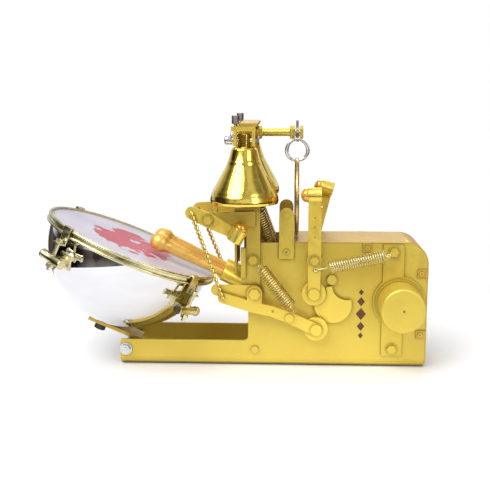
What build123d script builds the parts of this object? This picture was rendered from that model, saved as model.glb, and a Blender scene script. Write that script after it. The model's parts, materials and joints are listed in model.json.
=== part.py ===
from build123d import *
import math
import os

# Automatic drum, bell and gong ringer. Millimetres, +Z up, front towards -Y.
# The origin lies under the chassis floor, half way between its two walls.

# ---------------------------------------------------------------- driving sizes
sheet = 2.5                 # chassis sheet
body_width = 86.0           # over both chassis walls
chassis_left = -160.0       # free end of the rails
body_left = 4.0             # left edge of the tall part
body_right = 227.0
body_top = 160.0
rail_top = 33.5
floor_bend = 12.0           # outer radius of the folded floor edges
shoulder_radius = 26.0      # rounded upper right corner
cover_sheet = 1.5
cover_left = 45.0           # the cover leaves a slot open to its left
plate = 3.0                 # posts, arms, stops and levers
run_gap = 0.06              # radial clearance of a running fit
side_gap = 0.5              # axial gap between parts that turn past each other
touch_gap = 0.3             # gap between moving surfaces

cam_x, cam_z = 110.5, 83.0
cam_radius = 23.5
cam_shaft_radius = 5.0
cam_thick = 3.8
cam_floor = 11.2            # from the axis to the bottom of the upper scoop
cam_scoop_angle = 54.5
cam_pulley_radius = 25.0
motor_x, motor_z = 193.0, 86.0
motor_radius = 27.5
motor_front = -(body_width / 2 + 50.0)      # Y of the motor's outer face
motor_rear = -(body_width / 2 - 25.0)
motor_pulley_radius = 11.0
motor_shaft_radius = 4.0
strap_x = 185.0
strap_width = 26.0
strap_low, strap_high = 16.0, 159.0

gong_pivot_x, gong_pivot_z = 86.2, 140.6
gong_roller_z = 98.0
gong_head_z = 221.0
gong_head_radius = 9.5
gong_head_y = body_width / 2 + 9.5
gong_head_length = 16.5
gong_strip_width = 16.0
roller_radius = 15.0
roller_width = 5.0
roller_pin_radius = 3.0
roller_cap_radius = 7.0
rear_gong_lift = 14.0       # the rear hammer stands lifted by its cam

drum_pivot_x, drum_pivot_z = 12.5, 98.0
drum_roller_x, drum_roller_z = 89.4, 52.6
chain_foot_x, chain_foot_z = -27.0, 92.0
drum_shaft_radius = 5.0
mallet_y = 20.0
mallet_angle = 25.2         # above the horizontal
mallet_reach = 135.0        # pivot to the middle of the ball
mallet_ball_radius = 12.0
socket_radius = 11.2
socket_end = 46.0

bell_pivot_x, bell_pivot_z = -45.0, 190.3
bell_hole_x, bell_hole_z = -65.0, 199.0
bell_head_x, bell_head_z = -9.0, 171.7
bell_head_radius = 9.8
bell_head_length = 17.6
bell_head_y = body_width / 2 + 16.5
bell_lever_slope = 28.9     # the hammer end points down to the right
rear_bell_lift = 25.0       # the rear hammer stands raised
lever_bolt_radius = 4.0
pivot_head_radius = 7.0

post_x = 10.5
post_width = 17.0
post_foot, post_top = 86.0, 200.0
cross_plate_left, cross_plate_right = -13.0, 19.0
mallet_stop_foot = 130.0
plate_leg_foot = 121.0
column_left, column_right = -4.0, 12.0
column_depth = 20.0
crossbar_left, crossbar_right = -6.0, 16.0
crossbar_z = 304.5
crossbar_thick = 4.0

bell_y = body_width / 2 + 15.0
crossbar_half = bell_y + 7.0
bell_mouth_z = 212.0
bell_bolt_z = 288.0
bell_neck_radius = 7.5
bell_wall = 2.5
bell_bolt_radius = 3.0
yoke_inner, yoke_outer = 9.2, 13.2
yoke_depth = 14.0
yoke_foot = 281.0
yoke_web = 5.5

hang_z = 295.0
rod_radius = 4.9
gong_x = 64.5
gong_radius = 50.0
gong_thick = 3.0
gong_z = 213.0
gong_hole_radius = 3.0
gong_twist = 1.0            # it hangs a little askew
ring_radius = 13.4
ring_wire = 1.0
stop_left, stop_right = 42.4, 61.0
stop_foot, stop_top = 140.0, 204.0

drum_x, drum_z = -148.4, 148.9
drum_tilt = 22.7            # the head leans towards the bells
drum_roll = 2.4             # and a little to the rear
shell_radius = 108.0
shell_wall = 2.0
hoop_outer = 115.0
hoop_inner = 111.2
lug_angles = (53, 143, 233, 323)
lug_drop = 36.0             # lug barrels below the rim
lug_reach = 123.0           # tension rods, out from the drum's axis
cross_tube_x, cross_tube_z = -152.8, 21.0
bar_thick = 5.0
bar_width = 28.0
bar_top = shell_radius + 0.1

wall_out = body_width / 2
wall_in = wall_out - sheet
post_face = wall_out + plate
lever_back = wall_out + 12.0                # distance of every lever's inner face from the middle plane
lever_front = lever_back + plate + 0.5
roller_back = wall_out + 6.6
cam_back = wall_out + 2.2
side_names = {-1: "front", 1: "rear"}

os.makedirs("parts", exist_ok=True)


# ---------------------------------------------------------------- helpers
def save(shape, name):
    export_step(shape, f"parts/{name}.step")


def group(shapes):
    return Compound(children=list(shapes))


def block(x0, x1, y0, y1, z0, z1):
    middle = Pos((x0 + x1) / 2, (y0 + y1) / 2, (z0 + z1) / 2)
    return middle * Box(abs(x1 - x0), abs(y1 - y0), abs(z1 - z0))


def rod_y(x, z, radius, y0, y1):
    return Pos(x, (y0 + y1) / 2, z) * Rot(90, 0, 0) * Cylinder(radius, abs(y1 - y0))


def rod_x(y, z, radius, x0, x1):
    return Pos((x0 + x1) / 2, y, z) * Rot(0, 90, 0) * Cylinder(radius, abs(x1 - x0))


def rod_z(x, y, radius, z0, z1):
    return Pos(x, y, (z0 + z1) / 2) * Cylinder(radius, abs(z1 - z0))


def slab(sketch, y0, y1):
    """A flat sketch (x, z) given thickness between two Y planes."""
    low, high = min(y0, y1), max(y0, y1)
    return Pos(0, high, 0) * extrude(Plane.XZ * sketch, amount=high - low)


def outline(points, radii=None):
    shape = make_face(Polyline(*points, close=True))
    for point, radius in (radii or {}).items():
        corner = shape.vertices().sort_by_distance(Vector(point[0], point[1], 0))[0]
        shape = fillet(corner, radius)
    return shape


def link(x0, z0, r0, x1, z1, r1):
    """Flat bar with round ends, tapering from one radius to the other."""
    ends = [Pos(x0, z0) * Circle(r0), Pos(x1, z1) * Circle(r1)]
    return make_hull(ends[0].edges() + ends[1].edges())


def chain_of_links(points):
    shape = None
    for start, end in zip(points, points[1:]):
        piece = link(*start, *end)
        shape = piece if shape is None else shape + piece
    return shape


def hexagon_y(x, z, radius, y0, y1):
    return slab(Pos(x, z) * RegularPolygon(radius, 6), y0, y1)


def turned(shape, x, z, degrees):
    """Turn about a Y axis; positive is clockwise from the front."""
    return Pos(x, 0, z) * Rot(0, degrees, 0) * Pos(-x, 0, -z) * shape


def turned_point(x, z, pivot_x, pivot_z, degrees):
    angle = math.radians(degrees)
    dx = x - pivot_x
    dz = z - pivot_z
    new_x = pivot_x + dx * math.cos(angle) + dz * math.sin(angle)
    new_z = pivot_z - dx * math.sin(angle) + dz * math.cos(angle)
    return new_x, new_z


def on_side(shape, side):
    """Shapes are drawn for the front; the rear ones are their mirror image."""
    return shape if side < 0 else mirror(shape, about=Plane.XZ)


def in_cradle(shape):
    return Pos(drum_x, 0, drum_z) * Rot(0, drum_tilt, 0) * shape


def in_drum(shape):
    return in_cradle(Rot(-drum_roll, 0, 0) * shape)


# ---------------------------------------------------------------- chassis and cover
hex_bolt_radius = 6.0
m6 = 3.0
bolt_head = 4.0
washer_radius = 7.5
washer_thick = 1.0
screw_radius = 1.5
screw_head = 2.8
post_bolt_z = 138.7
strap_bolt_low, strap_bolt_high = 25.4, 149.6
stop_screw_z = 149.3
cover_screws = ((152.0, 154.5), (220.0, 122.5), (220.0, 44.0))
stop_bolt_x, stop_bolt_z = 108.8, 114.4
plug_x, plug_z = 12.7, 22.0
gland_x, gland_z = 214.0, 30.0
gland_radius = 6.0
bush_radius = 8.0
bush_flange = 10.5
bush_inner_y = 36.0


def wall_outline():
    points = [
        (chassis_left, 0), (body_right, 0), (body_right, body_top),
        (body_left, body_top), (body_left, rail_top), (chassis_left, rail_top),
    ]
    rounds = {
        (body_right, body_top): shoulder_radius,
        (body_left, rail_top): 6.0,
        (chassis_left, rail_top): 3.0,
        (chassis_left, 0): 3.0,
        (body_right, 0): 3.0,
    }
    return outline(points, rounds)


def make_chassis():
    height = body_top + 20
    shell = block(chassis_left, body_right, -wall_out, wall_out, 0, height)
    low = shell.edges().filter_by(Axis.X).group_by(Axis.Z)[0]
    shell = fillet(low, floor_bend)
    hollow = block(chassis_left - 1, body_right + 1, -wall_in, wall_in, sheet, height + 1)
    low = hollow.edges().filter_by(Axis.X).group_by(Axis.Z)[0]
    hollow = fillet(low, floor_bend - sheet)
    shape = (shell - hollow) & slab(wall_outline(), -wall_out, wall_out)
    through = wall_out + 1
    both = [
        (cam_x, cam_z, bush_radius),
        (drum_pivot_x, drum_pivot_z, bush_radius),
        (gong_pivot_x, gong_pivot_z, lever_bolt_radius),
        (post_x, post_bolt_z, m6),
        (cross_tube_x, cross_tube_z, m6),
        ((stop_left + stop_right) / 2, stop_screw_z, screw_radius),
        (stop_bolt_x, stop_bolt_z, m6),
        (plug_x, plug_z, m6),
    ]
    both += [(x, z, screw_radius) for x, z in cover_screws]
    for x, z, radius in both:
        shape -= rod_y(x, z, radius, -through, through)
    front_only = [
        (motor_x, motor_z, motor_radius),
        (strap_x, strap_bolt_low, m6),
        (strap_x, strap_bolt_high, m6),
    ]
    for x, z, radius in front_only:
        shape -= rod_y(x, z, radius, -through, 0)
    shape -= rod_y(gland_x, gland_z, gland_radius, 0, through)
    return shape


def make_cover():
    bottom = 6.0
    outer_right = body_right + cover_sheet
    outer_top = body_top + cover_sheet
    outer = outline(
        [(cover_left, bottom), (outer_right, bottom), (outer_right, outer_top), (cover_left, outer_top)],
        {(outer_right, outer_top): shoulder_radius + cover_sheet},
    )
    inner = outline(
        [
            (cover_left - 9, bottom - 9), (body_right, bottom - 9),
            (body_right, body_top), (cover_left - 9, body_top),
        ],
        {(body_right, body_top): shoulder_radius},
    )
    shape = slab(outer - inner, -wall_out, wall_out)
    tab_half = 5.5
    tab_face = wall_out + cover_sheet
    for side in (-1, 1):
        for x, z in cover_screws:
            if x < body_right - shoulder_radius:
                tab = block(x - tab_half, x + tab_half, side * wall_out, side * tab_face, z - 5, outer_top)
            else:
                tab = block(x - 5, outer_right, side * wall_out, side * tab_face, z - tab_half, z + tab_half)
            root = side * (wall_out - 0.01)
            shape += tab
            shape -= rod_y(x, z, screw_radius, root, side * (tab_face + 1))
    return shape


def make_cover_screws():
    shapes = []
    for side in (-1, 1):
        for x, z in cover_screws:
            under = wall_out + cover_sheet
            shank = rod_y(x, z, screw_radius, side * (wall_in - 2), side * under)
            head = rod_y(x, z, screw_head, side * under, side * (under + 1.6))
            slot = rod_y(x, z, 1.1, side * (under + 0.8), side * (under + 2))
            shapes.append(shank + head - slot)
        x = (stop_left + stop_right) / 2
        shank = rod_y(x, stop_screw_z, screw_radius, side * (wall_in - 2), side * post_face)
        head = rod_y(x, stop_screw_z, 3.6, side * post_face, side * (post_face + 2))
        slot = rod_y(x, stop_screw_z, 1.4, side * (post_face + 0.8), side * (post_face + 3))
        shapes.append(shank + head - slot)
    return group(shapes)


def hex_bolt(x, z, seat, inner, side):
    """Hexagon bolt with a washer; seat and inner are distances from the middle plane."""
    washer = rod_y(x, z, washer_radius, side * seat, side * (seat + washer_thick))
    under = seat + washer_thick
    head = hexagon_y(x, z, hex_bolt_radius, side * under, side * (under + bolt_head))
    shank = rod_y(x, z, m6, side * inner, side * seat)
    return washer + head + shank


def make_hex_bolts():
    shapes = []
    inner = wall_in - 4
    for z in (strap_bolt_low, strap_bolt_high):
        shapes.append(hex_bolt(strap_x, z, wall_out + 2, inner, -1))
    for side in (-1, 1):
        shapes.append(hex_bolt(post_x, post_bolt_z, post_face, inner, side))
        low_head = rod_y(plug_x, plug_z, 4.6, side * wall_out, side * (wall_out + 2.4))
        shapes.append(low_head + rod_y(plug_x, plug_z, m6, side * inner, side * wall_out))
        stop_face = wall_out + 6
        button = rod_y(stop_bolt_x, stop_bolt_z, 6.0, side * wall_out, side * stop_face)
        shapes.append(button + rod_y(stop_bolt_x, stop_bolt_z, m6, side * inner, side * wall_out))
        shapes.append(make_pivot_bolt(gong_pivot_x, gong_pivot_z, wall_in - 3, wall_out, side))
        shapes.append(make_pivot_bolt(bell_pivot_x, bell_pivot_z, post_face - 1.5, post_face + plate, side))
    return group(shapes)


def make_pivot_bolt(x, z, inner, seat, side):
    """Shoulder bolt that a lever turns on; a thin collar stands on the plate."""
    face = lever_front + side_gap
    shank = rod_y(x, z, lever_bolt_radius, side * inner, side * face)
    collar = rod_y(x, z, 7.0, side * seat, side * (seat + 0.6))
    head = rod_y(x, z, pivot_head_radius, side * face, side * (face + 1))
    cap = hexagon_y(x, z, 5.6, side * (face + 1), side * (face + 4))
    return shank + collar + head + cap


def make_bushes():
    shapes = []
    for side in (-1, 1):
        cam_face = wall_out + 1.6
        sleeve = rod_y(cam_x, cam_z, bush_radius, side * bush_inner_y, side * wall_out)
        flange = rod_y(cam_x, cam_z, bush_flange, side * wall_out, side * cam_face)
        bore = rod_y(cam_x, cam_z, cam_shaft_radius + run_gap, side * 30, side * 60)
        shapes.append(sleeve + flange - bore)
        sleeve = rod_y(drum_pivot_x, drum_pivot_z, bush_radius, side * bush_inner_y, side * post_face)
        flange = rod_y(drum_pivot_x, drum_pivot_z, bush_flange, side * post_face, side * (post_face + 1.6))
        bore = rod_y(drum_pivot_x, drum_pivot_z, drum_shaft_radius + run_gap, side * 30, side * 60)
        shapes.append(sleeve + flange - bore)
    return group(shapes)


def make_motor():
    body = rod_y(motor_x, motor_z, motor_radius, motor_front, motor_rear)
    rim = body.edges().filter_by(GeomType.CIRCLE).group_by(Axis.Y)[0]
    body = fillet(rim, 3.0)
    body -= Pos(motor_x, motor_front, motor_z) * Sphere(1.6)
    bore = motor_shaft_radius + run_gap
    return body - rod_y(motor_x, motor_z, bore, motor_rear - 8, motor_rear + 1)


def make_motor_strap():
    band = outline([
        (strap_x - strap_width / 2, strap_low), (strap_x + strap_width / 2, strap_low),
        (strap_x + strap_width / 2, strap_high), (strap_x - strap_width / 2, strap_high),
    ], {(strap_x + strap_width / 2, strap_high): 4.0, (strap_x - strap_width / 2, strap_low): 3.0})
    shape = slab(band + Pos(motor_x, motor_z) * Circle(motor_radius + 5.5), -wall_out - 2, -wall_out)
    shape += rod_y(motor_x, motor_z, motor_radius + 2.2, -wall_out - 6, -wall_out - 2)
    shape -= rod_y(motor_x, motor_z, motor_radius, -60, -30)
    for z in (strap_bolt_low, strap_bolt_high):
        shape -= rod_y(strap_x, z, m6, -60, -30)
    return shape


def make_gland():
    neck = rod_y(gland_x, gland_z, gland_radius, wall_in - 6, wall_out)
    collar = hexagon_y(gland_x, gland_z, gland_radius + 3, wall_out, wall_out + 4)
    nose = rod_y(gland_x, gland_z, gland_radius - 0.5, wall_out + 4, wall_out + 12)
    return neck + collar + nose - rod_y(gland_x, gland_z, 3.2, wall_in - 8, wall_out + 13)


# ---------------------------------------------------------------- drive
pulley_low, pulley_high = 4.0, 14.0     # distances in front of the middle plane
flange_thick = 1.4
belt_thick = 2.0


def grooved_pulley(x, z, radius, bore):
    shape = rod_y(x, z, radius, -pulley_high, -pulley_low)
    shape += rod_y(x, z, radius + 3, -pulley_high, -pulley_high + flange_thick)
    shape += rod_y(x, z, radius + 3, -pulley_low - flange_thick, -pulley_low)
    if bore:
        shape -= rod_y(x, z, bore, -pulley_high - 9, 9)
    return shape


def make_cam_shaft():
    end = cam_back + cam_thick - 0.8
    return rod_y(cam_x, cam_z, cam_shaft_radius, -end, end)


def make_cams():
    """Two-lobed drop cams: a disc with a scoop for each roller to fall into."""
    profile = Pos(cam_x, cam_z) * Circle(cam_radius)
    scoop = roller_radius + 0.9
    profile -= Pos(gong_pivot_x, gong_roller_z) * Circle(scoop)
    reach = cam_floor + scoop + 3
    across = cam_x + reach * math.cos(math.radians(cam_scoop_angle))
    profile -= Pos(across, cam_z + reach * math.sin(math.radians(cam_scoop_angle))) * Circle(scoop + 3)
    corners = profile.vertices()
    profile = fillet(corners, 1.2)
    disc = slab(profile, -cam_back - cam_thick, -cam_back)
    end = cam_back + cam_thick - 0.8
    disc -= rod_y(cam_x, cam_z, cam_shaft_radius, -end, 0)
    return group([on_side(disc, side) for side in (-1, 1)])


def make_cam_pulley():
    shape = grooved_pulley(cam_x, cam_z, cam_pulley_radius, 0)
    shape += rod_y(cam_x, cam_z, 10, -pulley_low, 5)
    shape -= rod_y(cam_x, cam_z, cam_shaft_radius, -30, 9)
    for index in range(5):
        angle = math.radians(72 * index)
        x = cam_x + 16 * math.cos(angle)
        z = cam_z + 16 * math.sin(angle)
        shape -= rod_y(x, z, 4.5, -30, 9)
    return shape


def make_motor_pulley():
    shape = grooved_pulley(motor_x, motor_z, motor_pulley_radius, 0)
    return shape + rod_y(motor_x, motor_z, motor_shaft_radius, motor_rear - 6, -1)


def make_belt():
    cam_in = cam_pulley_radius + touch_gap
    motor_in = motor_pulley_radius + touch_gap
    outer = link(cam_x, cam_z, cam_in + belt_thick, motor_x, motor_z, motor_in + belt_thick)
    inner = link(cam_x, cam_z, cam_in, motor_x, motor_z, motor_in)
    edge = flange_thick + touch_gap
    return slab(outer - inner, -pulley_high + edge, -pulley_low - edge)


# ---------------------------------------------------------------- posts and gantry
def make_posts():
    """Flat posts on both walls; a short flange on the left stiffens each one."""
    half = post_width / 2
    sketch = outline([
        (post_x - half, post_foot), (post_x + half, post_foot),
        (post_x + half, post_top), (post_x - half, post_top),
    ])
    post = slab(sketch, -post_face, -wall_out)
    flange_low, flange_high = 88.0, 154.0
    flange = block(post_x - half - 7, post_x - half, -post_face, -wall_out, flange_low, flange_high)
    post += flange
    lip_low = drum_pivot_z + 18
    post += block(post_x - half - 7, post_x - half - 1, -post_face - 3, -post_face, lip_low, flange_high)
    post -= rod_y(drum_pivot_x, drum_pivot_z, bush_radius, -60, -30)
    post -= rod_y(post_x, post_bolt_z, m6, -60, -30)
    rivet = Pos(post_x - half + 3, -post_face, post_top - 9) * Sphere(3)
    rivet &= block(-60, 60, -60, -post_face, 0, 300)
    post += rivet
    return group([on_side(post, side) for side in (-1, 1)])


def make_cross_plate():
    """Ties the posts together and carries the column; its left edge is the mallets' stop."""
    top = post_top + 4
    deck = block(cross_plate_left, cross_plate_right, -post_face, post_face, post_top, top)
    edge = cross_plate_left + 3
    shape = deck + block(cross_plate_left, edge, -42, 42, mallet_stop_foot, post_top)
    leg_inner = mallet_y + 13.5
    for side in (-1, 1):
        shape += block(cross_plate_left, edge, side * leg_inner, side * 42, plate_leg_foot, mallet_stop_foot)
    for side in (-1, 1):
        shape -= rod_z(mallet_anchor_x, side * mallet_y, 2.0, post_top - 1, top + 1)
    return shape


def make_gantry():
    top = post_top + 4
    half = column_depth / 2
    shape = block(column_left, column_right, -half, half, top, crossbar_z)
    bar_z = crossbar_z + crossbar_thick
    shape += block(crossbar_left, crossbar_right, -crossbar_half, crossbar_half, crossbar_z, bar_z)
    return shape - rod_x(0, hang_z, rod_radius, column_left - 1, column_right + 1)


def make_yokes():
    half = yoke_depth / 2
    web_z = crossbar_z - yoke_web
    web = block(-yoke_outer - 3, yoke_outer, -bell_y - half, -bell_y + half, web_z, crossbar_z)
    shape = web
    for low, high in ((-yoke_outer, -yoke_inner), (yoke_inner, yoke_outer)):
        shape += block(low, high, -bell_y - half, -bell_y + half, yoke_foot, crossbar_z - yoke_web)
    shape -= rod_x(-bell_y, bell_bolt_z, bell_bolt_radius, -30, 30)
    shape -= rod_z(-yoke_outer + 2.4, -bell_y, 2.0, crossbar_z - yoke_web, crossbar_z + 1)
    return group([on_side(shape, side) for side in (-1, 1)])


def make_plated_bolts():
    """Bright bolts: one through each bell, one clamp screw on each yoke, one at each rail end."""
    shapes = []
    for side in (-1, 1):
        y = side * bell_y
        shank = rod_x(y, bell_bolt_z, bell_bolt_radius, -yoke_outer, yoke_outer + 4.5)
        head = rod_x(y, bell_bolt_z, 5.2, -yoke_outer - 11, -yoke_outer)
        tip = head.edges().filter_by(GeomType.CIRCLE).group_by(Axis.X)[0]
        head = fillet(tip, 2.5)
        nut = Pos(yoke_outer, y, bell_bolt_z) * Rot(0, 90, 0) * extrude(RegularPolygon(5.2, 6), amount=4.5)
        shapes.append(shank + head + nut)
        x = -yoke_outer + 2.4
        stud = rod_z(x, y, 2.0, crossbar_z - yoke_web + 0.5, crossbar_z + 3)
        cap = Pos(x, y, crossbar_z + 3) * extrude(RegularPolygon(4.6, 6), amount=10)
        shapes.append(stud + cap)
        seat = wall_out
        bolt = rod_y(cross_tube_x, cross_tube_z, m6, side * (wall_in - 6), side * (seat + 8))
        bolt += rod_y(cross_tube_x, cross_tube_z, 8, side * seat, side * (seat + 1.5))
        bolt += hexagon_y(cross_tube_x, cross_tube_z, 6.4, side * (seat + 1.5), side * (seat + 6.5))
        shapes.append(bolt)
    return group(shapes)


def make_gong_rod():
    nut = 5.0
    shape = rod_x(0, hang_z, rod_radius, column_left - nut - 2, gong_x + 7.5)
    shape += rod_x(0, hang_z, 8.2, column_right, column_right + 3)
    shape += Pos(column_right + 3, 0, hang_z) * Rot(0, 90, 0) * extrude(RegularPolygon(8, 6), amount=5)
    shape += Pos(column_left - nut, 0, hang_z) * Rot(0, 90, 0) * extrude(RegularPolygon(8, 6), amount=nut)
    for inner, outer in ((-3.2, -9.5), (3.2, 7.5)):
        start = gong_x + min(inner, outer)
        nut = extrude(RegularPolygon(8.2, 6), amount=abs(outer - inner))
        shape += Pos(start, 0, hang_z) * Rot(0, 90, 0) * nut
    return shape


def make_gong():
    """Flat plate gong with a shallow hammered boss on each face."""
    disc = rod_x(0, gong_z, gong_radius, gong_x - gong_thick / 2, gong_x + gong_thick / 2)
    rims = disc.edges().filter_by(GeomType.CIRCLE)
    disc = fillet(rims, 1.0)
    hole_z = gong_z + gong_radius - 4.5
    disc -= rod_x(0, hole_z, gong_hole_radius, gong_x - 9, gong_x + 9)
    return Pos(gong_x, 0, 0) * Rot(0, 0, gong_twist) * Pos(-gong_x, 0, 0) * disc


def make_gong_hanger():
    """A strap looped over the rod, and two split rings that join it to the gong."""
    inner = rod_radius + touch_gap
    outer = inner + 1.6
    drop = 5.2
    loop = Rot(0, 0, 0) * Rectangle(2 * outer, drop) + Pos(0, drop / 2) * Circle(outer)
    loop += Pos(0, -drop / 2) * Circle(outer)
    eye = Rectangle(2 * inner, drop) + Pos(0, drop / 2) * Circle(inner) + Pos(0, -drop / 2) * Circle(inner)
    strap = extrude(Plane.YZ * (loop - eye), amount=4)
    strap = Pos(gong_x - 2, 0, hang_z - drop / 2) * strap
    tail = block(gong_x - 1.6, gong_x + 1.6, -1, 1, hang_z + outer - 0.4, hang_z + outer + 8)
    shapes = [strap + tail]
    top = hang_z - drop - inner + ring_wire + 0.05
    for shift, y in ((-1.2, -1.15), (1.6, 1.15)):
        centre = Pos(gong_x + shift, y, top - ring_radius)
        shapes.append(centre * Rot(90, 0, 0) * Torus(ring_radius, ring_wire))
    return group(shapes)


def make_gong_stops():
    half = (stop_right - stop_left) / 2
    x = (stop_left + stop_right) / 2
    sketch = outline([
        (stop_left, stop_foot), (stop_right, stop_foot),
        (stop_right, stop_top - half), (stop_left, stop_top - half),
    ])
    sketch += Pos(x, stop_top - half) * Circle(half)
    stop = slab(sketch, -post_face, -wall_out)
    stop -= rod_y(x, stop_screw_z, screw_radius, -60, -30)
    button = rod_y(x, stop_top - half, 4.5, -post_face - 0.6, -post_face)
    stop += button
    return group([on_side(stop, side) for side in (-1, 1)])


def make_hammer_arms():
    """Plates on the posts that carry the bell levers' pivots."""
    right = post_x - post_width / 2 + 11
    points = [
        (bell_pivot_x - 3, bell_pivot_z + 8.2), (right, post_top),
        (right, post_top - 19), (bell_pivot_x - 3, bell_pivot_z - 8.2),
    ]
    sketch = outline(points) + Pos(bell_pivot_x, bell_pivot_z) * Circle(8.8)
    arm = slab(sketch, -post_face - plate, -post_face)
    arm -= rod_y(bell_pivot_x, bell_pivot_z, lever_bolt_radius, -60, -30)
    arm -= Pos(post_x - post_width / 2 + 3, -post_face, post_top - 9) * Sphere(3.0)
    return group([on_side(arm, side) for side in (-1, 1)])


# ---------------------------------------------------------------- bells
def make_bell(side):
    """Open bell turned on its own axis, hung by a bolt through its neck."""
    profile = [
        (16.2, 276.0), (18.2, 268.0), (21.6, 259.0), (27.4, 248.0),
        (33.2, 237.0), (38.4, 227.0), (41.4, 218.0), (41.2, bell_mouth_z),
    ]
    neck_top = 296.0
    shoulder = 279.0
    outer = Spline(*profile)
    inside = [(x - bell_wall, z) for x, z in profile]
    inside[0] = (inside[0][0] - 2.5, shoulder - 4.5)
    inner = Spline(*reversed(inside))
    edges = [
        Line((0, neck_top), (bell_neck_radius, neck_top)),
        Line((bell_neck_radius, neck_top), (bell_neck_radius, shoulder)),
        Line((bell_neck_radius, shoulder), (12.5, shoulder)),
        Line((12.5, shoulder), profile[0]),
        outer,
        Line(profile[-1], (inside[-1][0], bell_mouth_z)),
        inner,
        Line(inside[0], (0, shoulder - 4.5)),
        Line((0, shoulder - 4.5), (0, neck_top)),
    ]
    shape = revolve(Plane.XZ * make_face(Wire(edges)), axis=Axis.Z)
    shape = Pos(0, side * bell_y, 0) * shape
    return shape - rod_x(side * bell_y, bell_bolt_z, bell_bolt_radius + run_gap, -30, 30)


# ---------------------------------------------------------------- gong levers
def lever_pin(x, z):
    """Pin that a roller turns on, with a round head on the lever's face."""
    pin = rod_y(x, z, roller_pin_radius, -lever_front, -roller_back + 0.3)
    return pin + rod_y(x, z, roller_cap_radius, -lever_front - 2.6, -lever_front)


def lever_roller(x, z):
    shape = rod_y(x, z, roller_radius, -roller_back - roller_width, -roller_back)
    rims = shape.edges().filter_by(GeomType.CIRCLE)
    shape = fillet(rims, 0.6)
    return shape - rod_y(x, z, roller_pin_radius + run_gap, -60, -40)


def gong_lever_sketch():
    half = gong_strip_width / 2
    strip_top = gong_head_z - 6
    strip = outline([
        (gong_pivot_x - half, gong_pivot_z), (gong_pivot_x + half, gong_pivot_z),
        (gong_pivot_x + half, strip_top), (gong_pivot_x - half, strip_top),
    ])
    strip += Pos(gong_pivot_x, gong_pivot_z) * Circle(half + 1.0)
    lower = link(gong_pivot_x, gong_pivot_z - 8, half, gong_pivot_x, gong_roller_z + 4, 7.2)
    return strip + lower + Pos(gong_pivot_x, gong_roller_z) * Circle(7.6)


def make_gong_lever():
    shape = slab(gong_lever_sketch(), -lever_front, -lever_back)
    shape += rod_y(gong_pivot_x, gong_pivot_z, 8, -lever_back, -wall_out - 0.6 - touch_gap)
    shape -= rod_y(gong_pivot_x, gong_pivot_z, lever_bolt_radius + run_gap, -70, -30)
    for z in (194.0, 182.0, 170.0, gong_hook_z):
        shape -= rod_y(gong_pivot_x, z, 1.5, -70, -30)
    return shape + lever_pin(gong_pivot_x, gong_roller_z)


def make_gong_head():
    """Round hammer head with a domed striking tip; it is slotted over the lever."""
    left = gong_pivot_x - gong_head_length / 2
    right = gong_pivot_x + gong_head_length / 2
    head = rod_x(-gong_head_y, gong_head_z, gong_head_radius, left, right)
    rims = head.edges().filter_by(GeomType.CIRCLE)
    head = fillet(rims, 0.8)
    head -= slab(gong_lever_sketch(), -lever_front, -lever_back)
    tip_radius = 9.0
    collar = rod_x(-gong_head_y, gong_head_z, tip_radius - 0.6, left - 2.2, left)
    dome = Sphere(tip_radius - 0.6) & Pos(-10, 0, 0) * Box(20, 40, 40)
    dome = Pos(left - 2.2, -gong_head_y, gong_head_z) * scale(dome, by=(0.8, 1, 1))
    return group([head, collar + dome])


# ---------------------------------------------------------------- drum levers
gong_hook_z = 128.8
spring_bolt_x, spring_bolt_z = 56.1, 67.7
tail_x, tail_z = 42.0, 118.0
mallet_anchor_x = 14.0


def make_drum_lever():
    """Bent bar outside the wall, fixed to a shaft that carries the mallet inside."""
    bar = chain_of_links([
        (chain_foot_x, chain_foot_z, 6.5), (8.0, 81.5, 6.8), (35.4, 75.5, 6.6),
        (spring_bolt_x, spring_bolt_z, 7.0), (drum_roller_x, drum_roller_z, 7.6),
    ])
    bar += link(drum_pivot_x, drum_pivot_z, 9.5, 12.0, 83.0, 9.0)
    shape = slab(bar, -lever_front, -lever_back)
    boss_back = post_face + 1.6 + side_gap
    shape += rod_y(drum_pivot_x, drum_pivot_z, 8, -lever_back, -boss_back)
    shape += slab(link(-35.3, 100.7, 7.0, drum_pivot_x, drum_pivot_z, 9.0), -boss_back - 3, -boss_back)
    shape += rod_y(-35.3, 100.7, 6.0, -boss_back - 6, -boss_back - 3)
    shape -= rod_y(drum_pivot_x, drum_pivot_z, drum_shaft_radius, -70, -30)
    for x, z in ((chain_foot_x, chain_foot_z), (35.4, 76.1)):
        shape -= rod_y(x, z, 1.6, -70, -52)
    bolt_face = lever_front + 2.5
    shape += rod_y(spring_bolt_x, spring_bolt_z, 5.2, -bolt_face, -lever_front)
    return shape + lever_pin(drum_roller_x, drum_roller_z)


def along_mallet(shape):
    """Place a shape drawn along +Z so that it points from the pivot to the drum."""
    return Pos(drum_pivot_x, -mallet_y, drum_pivot_z) * Rot(0, mallet_angle - 90, 0) * shape


def make_mallet_holder():
    """Pivot shaft, hub, mallet socket and the tail that its return spring pulls."""
    shaft = rod_y(drum_pivot_x, drum_pivot_z, drum_shaft_radius, -lever_front, -9)
    head = hexagon_y(drum_pivot_x, drum_pivot_z, 7.2, -lever_front - 4.5, -lever_front)
    hub = rod_y(drum_pivot_x, drum_pivot_z, 12, -mallet_y - 9, -mallet_y + 9)
    socket = along_mallet(Pos(0, 0, socket_end / 2) * Cylinder(socket_radius, socket_end))
    bore = along_mallet(Pos(0, 0, socket_end) * Cylinder(5.5, 60))
    tail = slab(link(drum_pivot_x, drum_pivot_z, 9, tail_x, tail_z, 5), -mallet_y - 3, -mallet_y + 3)
    tail -= rod_y(tail_x, tail_z, 1.8, -mallet_y - 9, -mallet_y + 9)
    return shaft + head + (hub + socket + tail - bore) + shaft


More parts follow.
